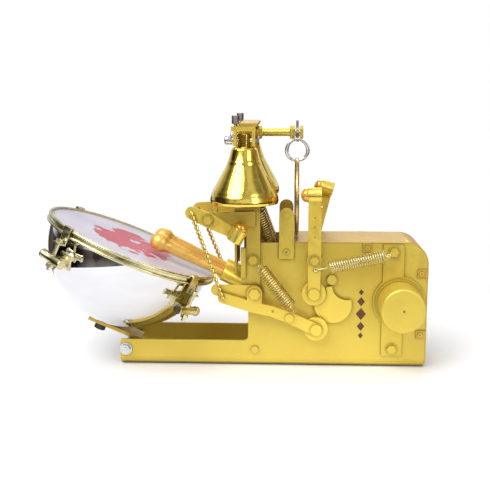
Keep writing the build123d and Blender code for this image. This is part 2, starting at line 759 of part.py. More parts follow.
def make_mallet():
    """Turned stick with a ball head."""
    ball = mallet_ball_radius
    foot = socket_end - 30
    neck = mallet_reach - 8
    edges = [
        Line((0, foot), (5.5, foot)),
        Line((5.5, foot), (5.5, socket_end)),
        Spline((5.5, socket_end), (6.1, socket_end + 20), (6.9, neck - 14), (8.4, neck)),
        Line((8.4, neck), (0, neck)),
        Line((0, neck), (0, foot)),
    ]
    stick = revolve(Plane.XZ * make_face(Wire(edges)), axis=Axis.Z)
    head = Pos(0, 0, mallet_reach) * scale(Sphere(ball), by=(1, 1, 1.12))
    return along_mallet(stick + head)


# ---------------------------------------------------------------- bell levers
def bell_lever_sketch():
    shape = chain_of_links([
        (bell_hole_x, bell_hole_z, 7.8), (bell_pivot_x, bell_pivot_z, 9.0),
        (-30.0, 182.6, 8.0), (bell_head_x - 6, bell_head_z + 3, 6.4),
    ])
    return shape


def make_bell_lever():
    shape = slab(bell_lever_sketch(), -lever_front, -lever_back)
    shape += rod_y(bell_pivot_x, bell_pivot_z, 7.5, -lever_back, -post_face - plate - 0.6 - touch_gap)
    shape -= rod_y(bell_pivot_x, bell_pivot_z, lever_bolt_radius + run_gap, -70, -30)
    return shape - rod_y(bell_hole_x, bell_hole_z, 1.6, -70, -30)


def make_bell_head():
    """Hammer head with a domed tip, square to its lever."""
    half = bell_head_length / 2
    tip_radius = 8.4
    head = Cylinder(bell_head_radius, bell_head_length)
    head = fillet(head.edges().filter_by(GeomType.CIRCLE), 0.8)
    tip = Pos(0, 0, half + 1.0) * Cylinder(tip_radius, 2.0)
    dome = Sphere(tip_radius) & Pos(0, 0, 10) * Box(40, 40, 20)
    dome = Pos(0, 0, half + 2.0) * scale(dome, by=(1, 1, 0.75))
    place = Pos(bell_head_x, -bell_head_y, bell_head_z) * Rot(0, bell_lever_slope, 0)
    head = place * head - slab(bell_lever_sketch(), -lever_front, -lever_back)
    return group([head, place * (tip + dome)])


def make_chain(lift):
    """Twisted link chain from the bell lever down to the drum lever, with its end pins."""
    top_x, top_z = turned_point(bell_hole_x, bell_hole_z, bell_pivot_x, bell_pivot_z, -lift)
    y = lever_front + 2.9
    radius = 2.1
    start = Vector(top_x, -y, top_z)
    end = Vector(chain_foot_x, -y, chain_foot_z)
    run = end - start
    body = Solid.make_cylinder(radius, run.length, Plane(origin=start, z_dir=run))
    shape = body + rod_y(top_x, top_z, 1.55, -y, -lever_back + 2)
    shape += Pos(top_x, -y, top_z) * Sphere(radius + 0.4)
    return shape + Pos(chain_foot_x, -y, chain_foot_z) * Sphere(radius + 0.3)


# ---------------------------------------------------------------- springs
def make_spring(x0, z0, x1, z1, y, coil_radius, wire, hook0, hook1):
    """Close-wound extension spring: its coil body as a tube, a straight hook wire at each end."""
    start = Vector(x0, y, z0)
    end = Vector(x1, y, z1)
    along = (end - start).normalized()
    body_start = start + along * hook0
    body_end = end - along * hook1
    length = (body_end - body_start).length
    plane = Plane(origin=body_start, z_dir=along)
    tube = Solid.make_cylinder(coil_radius, length, plane)
    tube = tube - Solid.make_cylinder(coil_radius - 2 * wire, length - 2 * wire, plane.offset(wire))
    first = Solid.make_cylinder(wire, hook0, Plane(origin=start, z_dir=along))
    last = Solid.make_cylinder(wire, hook1, Plane(origin=body_end, z_dir=along))
    return tube + first + last


def make_gong_spring(lift):
    x, z = turned_point(gong_pivot_x, gong_hook_z, gong_pivot_x, gong_pivot_z, lift)
    far_x = strap_x - 6
    y = lever_front + 0.7 + touch_gap
    return make_spring(x, z, far_x, strap_bolt_high - 1.5, -y, 6.3, 0.7, 20, 7)


def make_drum_spring():
    coil = 6.3
    y = lever_front + coil + touch_gap
    top_x, top_z = post_x + 7.6, post_bolt_z - 2.9
    foot_x, foot_z = spring_bolt_x + 7.3, spring_bolt_z + 9.5
    return make_spring(top_x, top_z, foot_x, foot_z, -y, coil, 0.8, 5, 10)


def make_mallet_spring():
    return make_spring(mallet_anchor_x, post_top - 0.5, tail_x, tail_z + 6.9, -mallet_y, 9.5, 1.0, 5, 6)


# ---------------------------------------------------------------- drum
def make_drum_shell():
    bowl = Sphere(shell_radius) - Sphere(shell_radius - shell_wall)
    bowl = bowl & Pos(0, 0, -100) * Box(400, 400, 200)
    return in_drum(bowl) - in_cradle(Pos(0, 0, -shell_radius) * Cylinder(4, 20))


def make_drum_head():
    return in_drum(Pos(0, 0, 1.2) * Cylinder(hoop_inner - 0.4, 2.0))


def make_drum_hoop():
    """Rolled counter hoop with a bead along its upper and lower edges."""
    edges = [
        Line((hoop_inner, -6), (hoop_inner + 1.6, -6)),
        ThreePointArc((hoop_inner + 1.6, -6), (hoop_outer, -4), (hoop_inner + 1.8, -2)),
        Line((hoop_inner + 1.8, -2), (hoop_inner + 1.8, 1)),
        ThreePointArc((hoop_inner + 1.8, 1), (hoop_outer, 3), (hoop_inner + 1.6, 5)),
        Line((hoop_inner + 1.6, 5), (hoop_inner, 5)),
        Line((hoop_inner, 5), (hoop_inner, -6)),
    ]
    return in_drum(revolve(Plane.XZ * make_face(Wire(edges)), axis=Axis.Z))


def around_drum(shape):
    return group([in_drum(Rot(0, 0, angle) * shape) for angle in lug_angles])


def make_claws():
    """Hooks that grip the hoop and take the head of a tension rod."""
    half = 6.0
    top = block(hoop_inner + 0.5, hoop_outer + 3, -half, half, 5.1, 7.1)
    back = block(hoop_outer + 1, hoop_outer + 3, -half, half, -14, 5.1)
    lip = block(hoop_outer + 1, lug_reach + 5, -half, half, -16, -14)
    shape = top + back + lip
    return around_drum(shape - rod_z(lug_reach, 0, 2.4, -20, -10))


def make_tension_rods():
    low = -lug_drop - 14
    shape = rod_z(lug_reach, 0, 2.4, low, -14)
    shape += Pos(lug_reach, 0, -14) * extrude(RegularPolygon(4.4, 6), amount=4)
    shape += Pos(lug_reach, 0, -lug_drop - 10) * extrude(RegularPolygon(5, 6), amount=4)
    return around_drum(shape)


def make_lugs():
    """Barrel lugs on short stems that follow the bowl."""
    half = 17.0
    barrel = Pos(lug_reach, 0, -lug_drop) * Rot(90, 0, 0) * Cylinder(5.2, 2 * half)
    barrel += Pos(lug_reach, half, -lug_drop) * Rot(90, 0, 0) * Cylinder(6.0, 3)
    barrel += Pos(lug_reach, -half, -lug_drop) * Rot(90, 0, 0) * Cylinder(6.0, 3)
    inner = shell_radius - 14
    stem = block(inner, lug_reach, -5, 5, -lug_drop - 3.5, -lug_drop + 3.5)
    low, high = -lug_drop - 9, -lug_drop + 9
    foot = Sphere(shell_radius + 2) & block(inner - 6, shell_radius + 2, -9, 9, low, high)
    shape = barrel + stem + foot - Sphere(shell_radius)
    return around_drum(shape - rod_z(lug_reach, 0, 2.4, -90, 0))


def local_in_drum(x, z):
    """Place of a point of the side view in the drum's own axes."""
    tilt = math.radians(drum_tilt)
    dx = x - drum_x
    dz = z - drum_z
    return dx * math.cos(tilt) - dz * math.sin(tilt), dx * math.sin(tilt) + dz * math.cos(tilt)


def tube_radius():
    """The cross tube touches the underside of the cradle bar."""
    height = local_in_drum(cross_tube_x, cross_tube_z)[1]
    return -(bar_top + bar_thick) - height


def make_cradle_bar():
    reach = local_in_drum(cross_tube_x, cross_tube_z)[0] + 12
    bar = block(-17, reach, -bar_width / 2, bar_width / 2, -bar_top - bar_thick, -bar_top)
    return in_cradle(bar - rod_z(0, 0, 4, -200, 0))


def make_cradle_bolt():
    """Bolt through the bowl and the bar, with a moulded knob under it."""
    inner = shell_radius - shell_wall
    under = bar_top + bar_thick
    shank = rod_z(0, 0, 4, -under - 4, -inner + 0.5)
    head = rod_z(0, 0, 9, -inner + 0.5, -inner + 4)
    knob = rod_z(0, 0, 7.5, -under - 9, -under)
    return in_cradle(shank + head + knob)


def make_cross_tube():
    radius = tube_radius()
    body = wall_in - 1.0
    tube = rod_y(cross_tube_x, cross_tube_z, radius, -body, body)
    tube += rod_y(cross_tube_x, cross_tube_z, 4.4, -wall_in, wall_in)
    for side in (-1, 1):
        tube -= rod_y(cross_tube_x, cross_tube_z, m6, side * (wall_in - 6), side * 60)
    return tube


# ---------------------------------------------------------------- build every node
save(make_chassis(), "chassis")
save(make_cover(), "top_cover")
save(make_cover_screws(), "cover_screws")
save(make_hex_bolts(), "hex_bolts")
save(make_bushes(), "bushes")
save(make_motor(), "motor_housing")
save(make_motor_strap(), "motor_strap")
save(make_gland(), "cord_gland")
save(make_cam_shaft(), "cam_shaft")
save(make_cams(), "cams")
save(make_cam_pulley(), "cam_pulley")
save(make_motor_pulley(), "motor_pulley")
save(make_belt(), "drive_belt")
save(make_posts(), "posts")
save(make_cross_plate(), "cross_plate")
save(make_gantry(), "bell_gantry")
save(make_yokes(), "yokes")
save(make_plated_bolts(), "plated_bolts")
save(make_gong_rod(), "gong_rod")
save(make_gong(), "gong")
save(make_gong_hanger(), "gong_hanger")
save(make_gong_stops(), "gong_stops")
save(make_hammer_arms(), "hammer_arms")
save(make_drum_shell(), "drum_shell")
save(make_drum_head(), "drum_head")
save(make_drum_hoop(), "drum_hoop")
save(make_claws(), "drum_claws")
save(make_tension_rods(), "tension_rods")
save(make_lugs(), "drum_lugs")
save(make_cradle_bar(), "cradle_bar")
save(make_cradle_bolt(), "cradle_bolt")
save(make_cross_tube(), "cross_tube")
for side, label in side_names.items():
    gong_lift = 0.0 if side < 0 else rear_gong_lift
    bell_lift = 0.0 if side < 0 else rear_bell_lift
    save(make_bell(side), f"bell_{label}")
    for maker, name in (
        (make_gong_lever, "gong_lever"),
        (make_gong_head, "gong_head"),
    ):
        shape = turned(maker(), gong_pivot_x, gong_pivot_z, gong_lift)
        save(on_side(shape, side), f"{name}_{label}")
    roller_x, roller_z = turned_point(gong_pivot_x, gong_roller_z, gong_pivot_x, gong_pivot_z, gong_lift)
    save(on_side(lever_roller(roller_x, roller_z), side), f"gong_roller_{label}")
    save(on_side(make_gong_spring(gong_lift), side), f"gong_spring_{label}")
    save(on_side(make_drum_lever(), side), f"drum_lever_{label}")
    save(on_side(make_mallet_holder(), side), f"mallet_holder_{label}")
    save(on_side(make_mallet(), side), f"mallet_{label}")
    save(on_side(lever_roller(drum_roller_x, drum_roller_z), side), f"drum_roller_{label}")
    save(on_side(make_drum_spring(), side), f"drum_spring_{label}")
    save(on_side(make_mallet_spring(), side), f"mallet_spring_{label}")
    for maker, name in (
        (make_bell_lever, "bell_lever"),
        (make_bell_head, "bell_head"),
    ):
        shape = turned(maker(), bell_pivot_x, bell_pivot_z, -bell_lift)
        save(on_side(shape, side), f"{name}_{label}")
    save(on_side(make_chain(bell_lift), side), f"hammer_chain_{label}")
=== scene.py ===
import json
import math

import bpy
import numpy as np
from mathutils import Matrix, Vector


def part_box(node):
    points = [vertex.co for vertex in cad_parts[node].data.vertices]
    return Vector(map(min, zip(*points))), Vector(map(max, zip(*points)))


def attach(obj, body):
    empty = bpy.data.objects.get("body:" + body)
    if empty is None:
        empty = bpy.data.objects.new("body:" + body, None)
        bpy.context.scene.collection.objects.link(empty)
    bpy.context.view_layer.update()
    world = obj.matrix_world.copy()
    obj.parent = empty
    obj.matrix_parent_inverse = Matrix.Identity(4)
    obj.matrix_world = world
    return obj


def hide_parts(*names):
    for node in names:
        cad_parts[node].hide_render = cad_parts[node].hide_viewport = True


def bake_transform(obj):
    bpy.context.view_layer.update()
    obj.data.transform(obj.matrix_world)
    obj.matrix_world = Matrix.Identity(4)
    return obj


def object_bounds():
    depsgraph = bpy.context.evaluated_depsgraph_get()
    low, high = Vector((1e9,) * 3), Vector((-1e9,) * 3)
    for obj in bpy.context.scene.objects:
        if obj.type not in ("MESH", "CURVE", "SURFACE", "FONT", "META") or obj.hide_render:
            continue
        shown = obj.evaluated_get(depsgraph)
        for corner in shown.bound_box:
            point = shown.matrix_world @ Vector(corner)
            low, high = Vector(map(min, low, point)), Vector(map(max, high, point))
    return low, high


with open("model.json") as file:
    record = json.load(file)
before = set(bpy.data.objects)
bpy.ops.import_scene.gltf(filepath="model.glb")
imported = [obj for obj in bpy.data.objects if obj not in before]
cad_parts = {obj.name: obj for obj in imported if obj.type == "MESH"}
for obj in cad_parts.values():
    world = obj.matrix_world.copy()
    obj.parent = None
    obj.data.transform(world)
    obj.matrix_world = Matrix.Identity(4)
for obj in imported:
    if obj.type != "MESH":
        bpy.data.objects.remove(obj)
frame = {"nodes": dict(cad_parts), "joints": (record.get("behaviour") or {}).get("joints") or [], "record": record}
cad_box = [list(corner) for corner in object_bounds()]
nodes = frame["nodes"]
joints = {joint["name"]: joint for joint in frame["joints"]}
SIDES = ("front", "rear")
MM = 0.001


# ---------------------------------------------------------------- measuring the frame
def points_of(node):
    mesh = nodes[node].data
    flat = np.zeros(len(mesh.vertices) * 3)
    mesh.vertices.foreach_get("co", flat)
    return flat.reshape(-1, 3)


def middle(node):
    low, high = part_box(node)
    return (Vector(low) + Vector(high)) / 2


def extent(node):
    low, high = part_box(node)
    return Vector(high) - Vector(low)


def long_ends(node):
    """The two ends of a long slender node, as points on its own axis."""
    cloud = points_of(node)
    centre = cloud.mean(axis=0)
    axis = np.linalg.svd(cloud - centre, full_matrices=False)[2][0]
    along = (cloud - centre) @ axis
    near = cloud[along < along.min() + 0.1 * MM].mean(axis=0)
    far = cloud[along > along.max() - 0.1 * MM].mean(axis=0)
    return (Vector(near), Vector(far)) if near[2] > far[2] else (Vector(far), Vector(near))


def disc_of(node):
    """Middle, upward normal and radius of a flat round node."""
    cloud = points_of(node)
    centre = (cloud.max(axis=0) + cloud.min(axis=0)) / 2
    normal = np.linalg.svd(cloud - cloud.mean(axis=0), full_matrices=False)[2][2]
    normal = normal if normal[2] > 0 else -normal
    along = (cloud - centre) @ normal
    flat = cloud - centre - np.outer(along, normal)
    return Vector(centre), Vector(normal), float(np.linalg.norm(flat, axis=1).max())


# ---------------------------------------------------------------- building meshes
def new_object(name, vertices, faces, smooth=True):
    mesh = bpy.data.meshes.new(name)
    mesh.from_pydata([tuple(v) for v in vertices], [], faces)
    mesh.update()
    if smooth:
        mesh.polygons.foreach_set("use_smooth", [True] * len(mesh.polygons))
    thing = bpy.data.objects.new(name, mesh)
    bpy.context.scene.collection.objects.link(thing)
    return thing


def lathe(name, profile, steps=128, place=Matrix.Identity(4), sharp=None):
    """Turns a closed or axis-to-axis profile of (radius, height) about Z, then places it."""
    rings = []
    vertices = []
    for radius, height in profile:
        if radius < 1e-7:
            rings.append([len(vertices)])
            vertices.append(place @ Vector((0, 0, height)))
            continue
        ring = []
        for step in range(steps):
            angle = 2 * math.pi * step / steps
            ring.append(len(vertices))
            vertices.append(place @ Vector((radius * math.cos(angle), radius * math.sin(angle), height)))
        rings.append(ring)
    faces = []
    for low, high in zip(rings, rings[1:]):
        for step in range(steps):
            after = (step + 1) % steps
            if len(low) == 1 and len(high) == 1:
                continue
            if len(low) == 1:
                faces.append((low[0], high[step], high[after]))
            elif len(high) == 1:
                faces.append((low[step], low[after], high[0]))
            else:
                faces.append((low[step], low[after], high[after], high[step]))
    thing = new_object(name, vertices, faces)
    thing.data.set_sharp_from_angle(angle=math.radians(sharp or 38))
    return thing


def smooth_profile(knots, count):
    """A smooth line of points through a few knots."""
    knots = [Vector(k) for k in knots]
    ends = [2 * knots[0] - knots[1]] + knots + [2 * knots[-1] - knots[-2]]
    line = []
    for a, b, c, d in zip(ends, ends[1:], ends[2:], ends[3:]):
        for step in range(count):
            t = step / count
            line.append(0.5 * (2 * b + (c - a) * t + (2 * a - 5 * b + 4 * c - d) * t * t
                               + (3 * b - a - 3 * c + d) * t ** 3))
    line.append(knots[-1])
    return line


def arc(centre, radius, start, end, count):
    """Points of an arc in the (radius, height) plane, angles in degrees."""
    for step in range(count + 1):
        angle = math.radians(start + (end - start) * step / count)
        yield (centre[0] + radius * math.cos(angle), centre[1] + radius * math.sin(angle))


def wire(name, path, radius, sides=10, closed=False):
    """A round wire swept along a list of points, with flat caps on an open one."""
    count = len(path)
    tangents = []
    for index in range(count):
        before = path[index - 1] if index or closed else path[0]
        after = path[(index + 1) % count] if index + 1 < count or closed else path[-1]
        tangents.append((after - before).normalized())
    normal = tangents[0].orthogonal().normalized()
    vertices = []
    for point, tangent in zip(path, tangents):
        normal = (normal - tangent * normal.dot(tangent)).normalized()
        across = tangent.cross(normal)
        for side in range(sides):
            angle = 2 * math.pi * side / sides
            vertices.append(point + radius * (math.cos(angle) * normal + math.sin(angle) * across))
    faces = []
    spans = count if closed else count - 1
    for index in range(spans):
        base = index * sides
        other = ((index + 1) % count) * sides
        for side in range(sides):
            after = (side + 1) % sides
            faces.append((base + side, base + after, other + after, other + side))
    if not closed:
        faces.append(tuple(reversed(range(sides))))
        faces.append(tuple(range((count - 1) * sides, count * sides)))
    return new_object(name, vertices, faces)


def join(name, things):
    """One object out of several meshes."""
    vertices = []
    faces = []
    smooth = []
    for thing in things:
        base = len(vertices)
        vertices += [thing.matrix_world @ v.co for v in thing.data.vertices]
        faces += [tuple(base + i for i in p.vertices) for p in thing.data.polygons]
        smooth += [p.use_smooth for p in thing.data.polygons]
        bpy.data.objects.remove(thing)
    whole = new_object(name, vertices, faces)
    whole.data.polygons.foreach_set("use_smooth", smooth)
    whole.data.set_sharp_from_angle(angle=math.radians(40))
    return whole


def pointing(origin, axis, spin=0.0):
    """A place whose own Z runs along axis."""
    turn = Vector(axis).to_track_quat("Z", "Y").to_matrix().to_4x4()
    return Matrix.Translation(origin) @ turn @ Matrix.Rotation(spin, 4, "Z")


# ---------------------------------------------------------------- materials
class Shader:
    """A short hand for one material's node tree."""

    def __init__(self, name, colour, metallic, roughness, **sockets):
        self.material = bpy.data.materials.new(name)
        self.material.use_nodes = True
        self.tree = self.material.node_tree
        self.surface = self.tree.nodes["Principled BSDF"]
        self.set("Base Color", (*colour, 1))
        self.set("Metallic", metallic)
        self.set("Roughness", roughness)
        for socket, value in sockets.items():
            self.set(socket.replace("_", " "), value)
        coordinates = self.tree.nodes.new("ShaderNodeTexCoord")
        self.space = coordinates.outputs["Object"]

    def set(self, socket, value):
        self.surface.inputs[socket].default_value = value

    def link(self, output, socket):
        self.tree.links.new(output, self.surface.inputs[socket])

    def noise(self, scale, detail=3.0, stretch=(1, 1, 1), rough=0.5):
        mapping = self.tree.nodes.new("ShaderNodeMapping")
        mapping.inputs["Scale"].default_value = stretch
        texture = self.tree.nodes.new("ShaderNodeTexNoise")
        texture.inputs["Scale"].default_value = scale
        texture.inputs["Detail"].default_value = detail
        texture.inputs["Roughness"].default_value = rough
        self.tree.links.new(self.space, mapping.inputs["Vector"])
        self.tree.links.new(mapping.outputs["Vector"], texture.inputs["Vector"])
        return texture.outputs["Fac"]

    def ramp(self, factor, *stops):
        """stops are (position, colour or grey)."""
        node = self.tree.nodes.new("ShaderNodeValToRGB")
        elements = node.color_ramp.elements
        while len(elements) < len(stops):
            elements.new(0.5)
        for element, (position, colour) in zip(elements, stops):
            element.position = position
            element.color = (*colour, 1) if isinstance(colour, tuple) else (colour, colour, colour, 1)
        self.tree.links.new(factor, node.inputs["Fac"])
        return node.outputs["Color"]

    def mix(self, factor, first, second, blend="MIX"):
        node = self.tree.nodes.new("ShaderNodeMix")
        node.data_type = "RGBA"
        node.blend_type = blend
        for value, socket in ((factor, 0), (first, 6), (second, 7)):
            if isinstance(value, (int, float)):
                node.inputs[socket].default_value = value
            elif isinstance(value, tuple):
                node.inputs[socket].default_value = (*value, 1)
            else:
                self.tree.links.new(value, node.inputs[socket])
        return node.outputs[2]

    def paint_corner_shade(self, colour, dark, reach):
        """Paints shade into the colour: darker in corners and seams, found by ambient occlusion."""
        node = self.tree.nodes.new("ShaderNodeAmbientOcclusion")
        node.samples = 8
        node.inputs["Distance"].default_value = reach
        # painted shade: the colour darkens towards dark where the ambient occlusion finds corners and seams
        return self.mix(self.ramp(node.outputs["AO"], (0.35, 0.0), (0.92, 1.0)), dark, colour)

    def bump(self, height, strength, distance):
        node = self.tree.nodes.new("ShaderNodeBump")
        node.inputs["Strength"].default_value = strength
        node.inputs["Distance"].default_value = distance
        self.tree.links.new(height, node.inputs["Height"])
        self.link(node.outputs["Normal"], "Normal")


def powder(name, colour, deep, bright, roughness=0.42, metallic=0.55):
    """Satin metallic powder coat: cloudy tone, fine flake, a slight orange peel and painted shade in corners and
    seams.
    """
    shader = Shader(name, colour, metallic, roughness)
    cloud = shader.ramp(shader.noise(9.0, 4.0), (0.32, deep), (0.68, colour))
    flake = shader.ramp(shader.noise(2600.0, 2.0, rough=0.7), (0.56, 0.0), (0.72, 1.0))
    # painted shade: corners and seams darken towards this deep gold
    dark = tuple(0.42 * c for c in deep)
    shader.link(shader.paint_corner_shade(shader.mix(flake, cloud, bright), dark, 0.006), "Base Color")
    rough = shader.ramp(shader.noise(120.0, 3.0), (0.3, roughness - 0.08), (0.7, roughness + 0.10))
    shader.link(rough, "Roughness")
    shader.bump(shader.noise(1500.0, 3.0), 0.35, 0.0001)
    return shader.material


def plated(name, colour, tint, roughness, metallic=1.0, scale=60.0, relief=0.06):
    """Plated or polished metal with faint smears and marks."""
    shader = Shader(name, colour, metallic, roughness)
    smear = shader.noise(scale, 5.0, (1, 1, 3))
    shader.link(shader.ramp(smear, (0.3, tint), (0.7, colour)), "Base Color")
    shader.link(shader.ramp(smear, (0.3, roughness * 0.7), (0.75, roughness * 1.5)), "Roughness")
    if relief:
        shader.bump(shader.noise(scale * 4, 3.0), relief, 0.0002)
    return shader.material


def brushed(name, colour, tint, roughness, stretch):
    """Lathe or belt marks that run across the stretch direction."""
    shader = Shader(name, colour, 1.0, roughness, Anisotropic=0.4)
    marks = shader.noise(500.0, 4.0, stretch, 0.65)
    shader.link(shader.ramp(marks, (0.3, tint), (0.7, colour)), "Base Color")
    shader.link(shader.ramp(marks, (0.3, roughness * 0.75), (0.75, roughness * 1.35)), "Roughness")
    shader.bump(marks, 0.15, 0.00015)
    return shader.material


def drum_skin(centre, normal, radius):
    """White film with a loose red pattern in its middle and a paler worn edge."""
    shader = Shader("skin_film", (0.60, 0.57, 0.66), 0.0, 0.34, Coat_Weight=0.25, Coat_Roughness=0.2)
    tree = shader.tree
    away = tree.nodes.new("ShaderNodeVectorMath")
    away.operation = "DISTANCE"
    tree.links.new(shader.space, away.inputs[0])
    away.inputs[1].default_value = centre
    edge = tree.nodes.new("ShaderNodeMapRange")
    edge.inputs["From Min"].default_value = radius * 0.98
    edge.inputs["From Max"].default_value = radius * 0.30
    tree.links.new(away.outputs["Value"], edge.inputs["Value"])
    blots = shader.noise(26.0, 3.5, rough=0.6)
    shade = shader.ramp(shader.noise(40.0, 4.0), (0.3, (0.46, 0.008, 0.035)), (0.7, (0.58, 0.025, 0.07)))
    white = shader.ramp(shader.noise(11.0, 4.0), (0.3, (0.52, 0.49, 0.60)), (0.7, (0.66, 0.64, 0.72)))
    amount = tree.nodes.new("ShaderNodeMath")
    amount.operation = "MULTIPLY"
    tree.links.new(edge.outputs["Result"], amount.inputs[0])
    tree.links.new(blots, amount.inputs[1])
    printed = shader.ramp(amount.outputs[0], (0.345, 0.0), (0.36, 1.0))
    shader.link(shader.mix(printed, white, shade), "Base Color")
    shader.bump(shader.noise(900.0, 3.0), 0.08, 0.0001)
    return shader.material


GOLD = (0.70, 0.53, 0.072)
GOLD_DEEP = (0.60, 0.43, 0.052)
GOLD_LIGHT = (0.95, 0.82, 0.28)
materials = {
    "body_powder": powder("coat_gold", GOLD, GOLD_DEEP, GOLD_LIGHT),
    # painted shade: the top cover is the body's gold paint, painted darker as shade on its top face
    "cover_powder": powder("coat_gold_painted_shade", (0.62, 0.42, 0.06), (0.54, 0.34, 0.05), (0.85, 0.64, 0.2), 0.36),
    "lever_gold": powder("coat_cast_gold", (0.86, 0.65, 0.09), (0.76, 0.54, 0.07), GOLD_LIGHT, 0.36, 0.6),
    "hammer_gold": brushed("turned_gold", (0.90, 0.72, 0.16), (0.78, 0.58, 0.10), 0.34, (1, 1, 0.1)),
    "bell_brass": plated("polished_brass", (0.92, 0.70, 0.13), (0.84, 0.60, 0.10), 0.13, relief=0.03),
    "gong_brass": plated("satin_brass", (0.66, 0.50, 0.20), (0.50, 0.36, 0.14), 0.24),
    "bowl_chrome": plated("mirror_chrome", (0.80, 0.80, 0.82), (0.74, 0.74, 0.77), 0.035,
                          scale=25.0, relief=0.015),
    "hoop_zinc": plated("yellow_zinc", (0.78, 0.73, 0.48), (0.60, 0.54, 0.28), 0.24),
    "mallet_gold": plated("lacquer_amber", (0.84, 0.52, 0.12), (0.77, 0.45, 0.095), 0.30, 0.5, scale=30.0),
    "steel_plated": plated("bright_zinc", (0.72, 0.72, 0.73), (0.58, 0.58, 0.60), 0.16),
    "shaft_steel": brushed("ground_steel", (0.55, 0.55, 0.56), (0.42, 0.42, 0.43), 0.25, (1, 0.1, 1)),
    "spring_dark": plated("dark_wire", (0.74, 0.60, 0.24), (0.50, 0.38, 0.14), 0.28),
    "spring_zinc": plated("zinc_wire", (0.82, 0.76, 0.46), (0.62, 0.54, 0.26), 0.26),
    "chain_gold": plated("gold_wire", (0.84, 0.66, 0.20), (0.58, 0.42, 0.12), 0.24),
    "pulley_alu": brushed("turned_aluminium", (0.66, 0.66, 0.68), (0.52, 0.52, 0.54), 0.28, (1, 0.1, 1)),
    "bush_bronze": plated("sintered_bronze", (0.46, 0.27, 0.12), (0.34, 0.19, 0.08), 0.38, scale=300.0),
}
rubber = Shader("belt_rubber", (0.018, 0.018, 0.018), 0.0, 0.62)
rubber.bump(rubber.noise(1800.0, 2.0), 0.3, 0.0002)
rubber.link(rubber.ramp(rubber.noise(200.0), (0.3, 0.012), (0.7, 0.03)), "Base Color")
materials["belt_rubber"] = rubber.material
moulded = Shader("moulded_black", (0.02, 0.02, 0.02), 0.0, 0.45)
moulded.bump(moulded.noise(2500.0, 2.0), 0.25, 0.0001)
moulded.link(moulded.ramp(moulded.noise(90.0), (0.3, 0.014), (0.7, 0.032)), "Base Color")
materials["gland_plastic"] = moulded.material
amber = Shader("amber_dome", (0.78, 0.44, 0.04), 0.5, 0.14, Coat_Weight=0.8, Coat_Roughness=0.05)
amber.link(amber.ramp(amber.noise(80.0), (0.3, (0.70, 0.36, 0.03)), (0.7, (0.84, 0.50, 0.05))), "Base Color")

ink = Shader("brown_ink", (0.10, 0.030, 0.012), 0.0, 0.5)
ink.link(ink.ramp(ink.noise(300.0), (0.3, (0.085, 0.024, 0.010)), (0.7, (0.13, 0.042, 0.017))), "Base Color")

slot_of = {part["node"]: part["material_slot"] for part in frame["record"]["subparts"]}


def paint(thing, material):
    thing.data.materials.clear()
    thing.data.materials.append(material)
    return thing


def stand_for(thing, body, *replaced):
    """Paint, ride and replace in one call, by the first replaced node's slot."""
    paint(thing, materials.get(slot_of[replaced[0]]) or thing.data.materials[0])
    if body:
        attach(thing, body)
    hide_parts(*replaced)
    return thing


# ---------------------------------------------------------------- bells
def make_bell(side):
    node = f"bell_{side}"
    low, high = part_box(node)
    radius = (high[0] - low[0]) / 2
    height = high[2] - low[2]
    wall = 2.5 * MM
    centre = Vector((middle(node).x, middle(node).y, low[2]))
    neck = 7.5 * MM
    shoulder = height - 17 * MM
    knots = [
        (0.985 * radius, 0.0), (radius, 0.06 * height), (0.93 * radius, 0.17 * height),
        (0.80 * radius, 0.295 * height), (0.655 * radius, 0.425 * height), (0.52 * radius, 0.555 * height),
        (0.44 * radius, 0.665 * height), (0.39 * radius, 0.755 * height),
    ]
    outer = [tuple(p) for p in smooth_profile(knots, 6)]
    crown = list(arc((0.39 * radius - 4 * MM, 0.755 * height), 4 * MM, 0, 90, 6))
    top = [(crown[-1][0], shoulder), (neck + 1.5 * MM, shoulder), (neck, shoulder + 1.5 * MM)]
    stem = [(neck, height - 1 * MM), (neck - 1 * MM, height), (0.0, height)]
    inner = [(max(r - wall, 0.001), z) for r, z in outer]
    inner_line = [(0.0, inner[-1][1])] + list(reversed(inner))
    beads = []
    for r, z in outer:
        bead = 0.0
        for level in (0.115, 0.60):
            gap = (z / height - level) / 0.010
            bead += 0.45 * MM * math.exp(-gap * gap)
        beads.append((r + bead if r + bead < radius else r, z))
    line = inner_line + beads + crown[1:] + top + stem
    place = Matrix.Translation(centre)
    return lathe(f"{node}_turned", line, 144, place, 34)


for side in SIDES:
    stand_for(make_bell(side), f"bell_{side}", f"bell_{side}")

# ---------------------------------------------------------------- drum
head_middle, head_normal, head_radius = disc_of("drum_head")
rim_middle = head_middle - head_normal * 1.2 * MM
drum_place = pointing(rim_middle, head_normal)
shell_outer = float(np.linalg.norm(points_of("drum_shell") - np.array(rim_middle), axis=1).max())
shell_wall = 2.0 * MM
bowl_line = [(r, z) for r, z in arc((0, 0), shell_outer - shell_wall, -90, 0, 48)]
bowl_line += [(shell_outer - shell_wall / 2, 0.0)]
bowl_line += [(r, z) for r, z in arc((0, 0), shell_outer, 0, -90, 48)]
bowl_line[0] = (0.0, bowl_line[0][1])
bowl_line[-1] = (0.0, bowl_line[-1][1])
stand_for(lathe("drum_bowl_spun", bowl_line, 192, drum_place), "frame", "drum_shell")

film = [(0.0, 0.3 * MM), (head_radius, 0.3 * MM), (head_radius, 2.2 * MM), (head_radius - 3 * MM, 2.25 * MM)]
film += [(head_radius * share, 2.2 * MM) for share in (0.9, 0.8, 0.6, 0.4, 0.2)] + [(0.0, 2.2 * MM)]
materials["head_film"] = drum_skin(head_middle, head_normal, head_radius)
stand_for(lathe("drum_skin_film", film, 144, drum_place), "frame", "drum_head")

